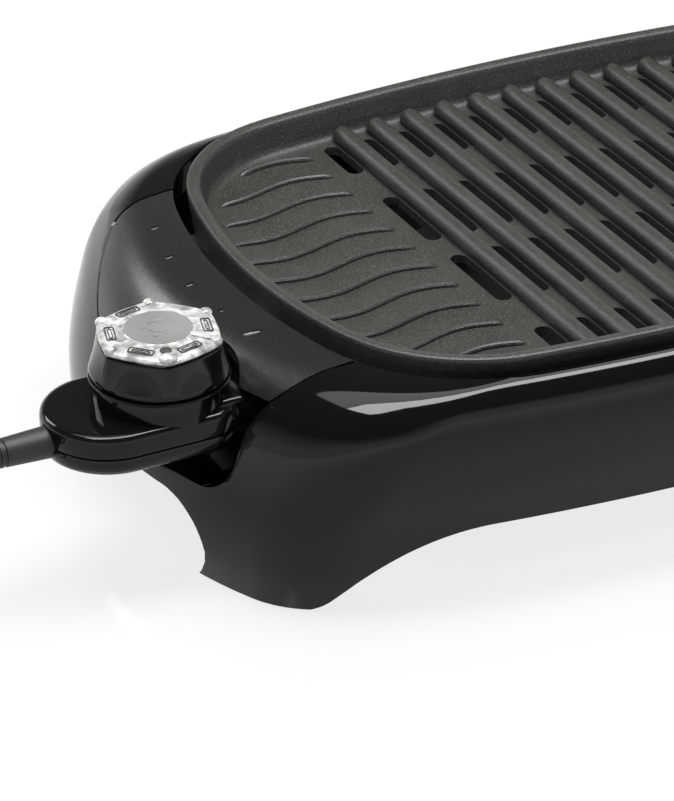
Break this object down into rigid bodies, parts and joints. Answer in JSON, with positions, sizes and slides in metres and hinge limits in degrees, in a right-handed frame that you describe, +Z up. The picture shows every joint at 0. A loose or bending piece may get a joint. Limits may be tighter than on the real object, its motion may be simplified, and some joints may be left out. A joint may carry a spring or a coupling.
{
  "type": "electric griddle",
  "caption": "Electric griddle: a slotted and ribbed non-stick plate lifts out of a glossy base over a drip tray, with a plug-in probe thermostat and dial at one end.",
  "frame": {"origin": "on the surface it stands on, under the middle of the plate", "axes": "+X along the length away from the control, +Y to the back, +Z up"},
  "size_m": [0.6121, 0.2787, 0.101],
  "materials": {
    "gloss_shell": "high gloss black phenolic",
    "foot_rubber": "matte rubber",
    "tray_sheet": "satin rolled aluminium",
    "nonstick": "dark non-stick coating on cast aluminium",
    "heater_tube": "sheathed heating tube",
    "steel": "plated steel",
    "cast_sleeve": "cast aluminium",
    "ceramic": "unglazed ceramic",
    "panel_metal": "satin dark coating",
    "control_plastic": "gloss black moulding",
    "inner_plastic": "matte moulding",
    "brass": "plain brass",
    "spring_metal": "thermostat strip",
    "contact_metal": "contact rivet",
    "clear_cap": "frosted clear moulding",
    "relief_rubber": "matte flexible moulding",
    "cord_jacket": "matte cord jacket",
    "tie_plastic": "coated wire tie",
    "blade_metal": "plated brass"
  },
  "bodies": {
    "base": {"base_shell": "gloss_shell", "foot_pads": "foot_rubber"},
    "tray": {"drip_tray": "tray_sheet"},
    "grid": {"grill_plate": "nonstick", "heating_element": "heater_tube", "element_clips": "cast_sleeve", "terminal_pin_front": "steel", "terminal_pin_back": "steel", "pin_insulators": "ceramic", "terminal_bracket": "steel", "probe_sleeve": "cast_sleeve", "left_end_panel": "panel_metal", "right_end_panel": "panel_metal", "left_panel_brackets": "steel", "left_panel_screws": "steel", "right_panel_brackets": "steel", "right_panel_screws": "steel"},
    "control": {"control_upper_shell": "control_plastic", "control_lower_shell": "control_plastic", "control_screws": "steel", "knob_collar": "inner_plastic", "probe_rod": "steel", "rod_bush": "brass", "socket_front": "brass", "socket_back": "brass", "socket_block": "inner_plastic", "thermostat_frame": "steel", "bimetal_blade": "spring_metal", "contact_arm": "spring_metal", "contact_buttons": "contact_metal", "strain_relief": "relief_rubber", "cord_lead": "cord_jacket", "cord_coil": "cord_jacket", "cord_tie": "tie_plastic", "plug_body": "relief_rubber", "plug_blades": "blade_metal"},
    "knob": {"knob_body": "control_plastic", "knob_cap": "clear_cap", "knob_shaft": "steel", "shaft_clip": "steel", "cam": "inner_plastic"}
  },
  "joints": [
    {"name": "plate_lift", "type": "slide", "parent": "base", "child": "grid", "axis": [0, 0, 1], "range_m": [0, 0.12]},
    {"name": "tray_lift", "type": "slide", "parent": "base", "child": "tray", "axis": [0, 0, 1], "range_m": [0, 0.06]},
    {"name": "control_pull", "type": "slide", "parent": "grid", "child": "control", "axis": [-1, 0, 0], "range_m": [0, 0.075]},
    {"name": "dial_turn", "type": "hinge", "parent": "control", "child": "knob", "pos_m": [-0.2223, -0.04, 0.09], "axis": [0, 0, -1], "range_deg": [0, 270]}
  ],
  "couplings": [
    {"joint": "tray_lift", "follows": "plate_lift", "ratio": 0.5}
  ]
}
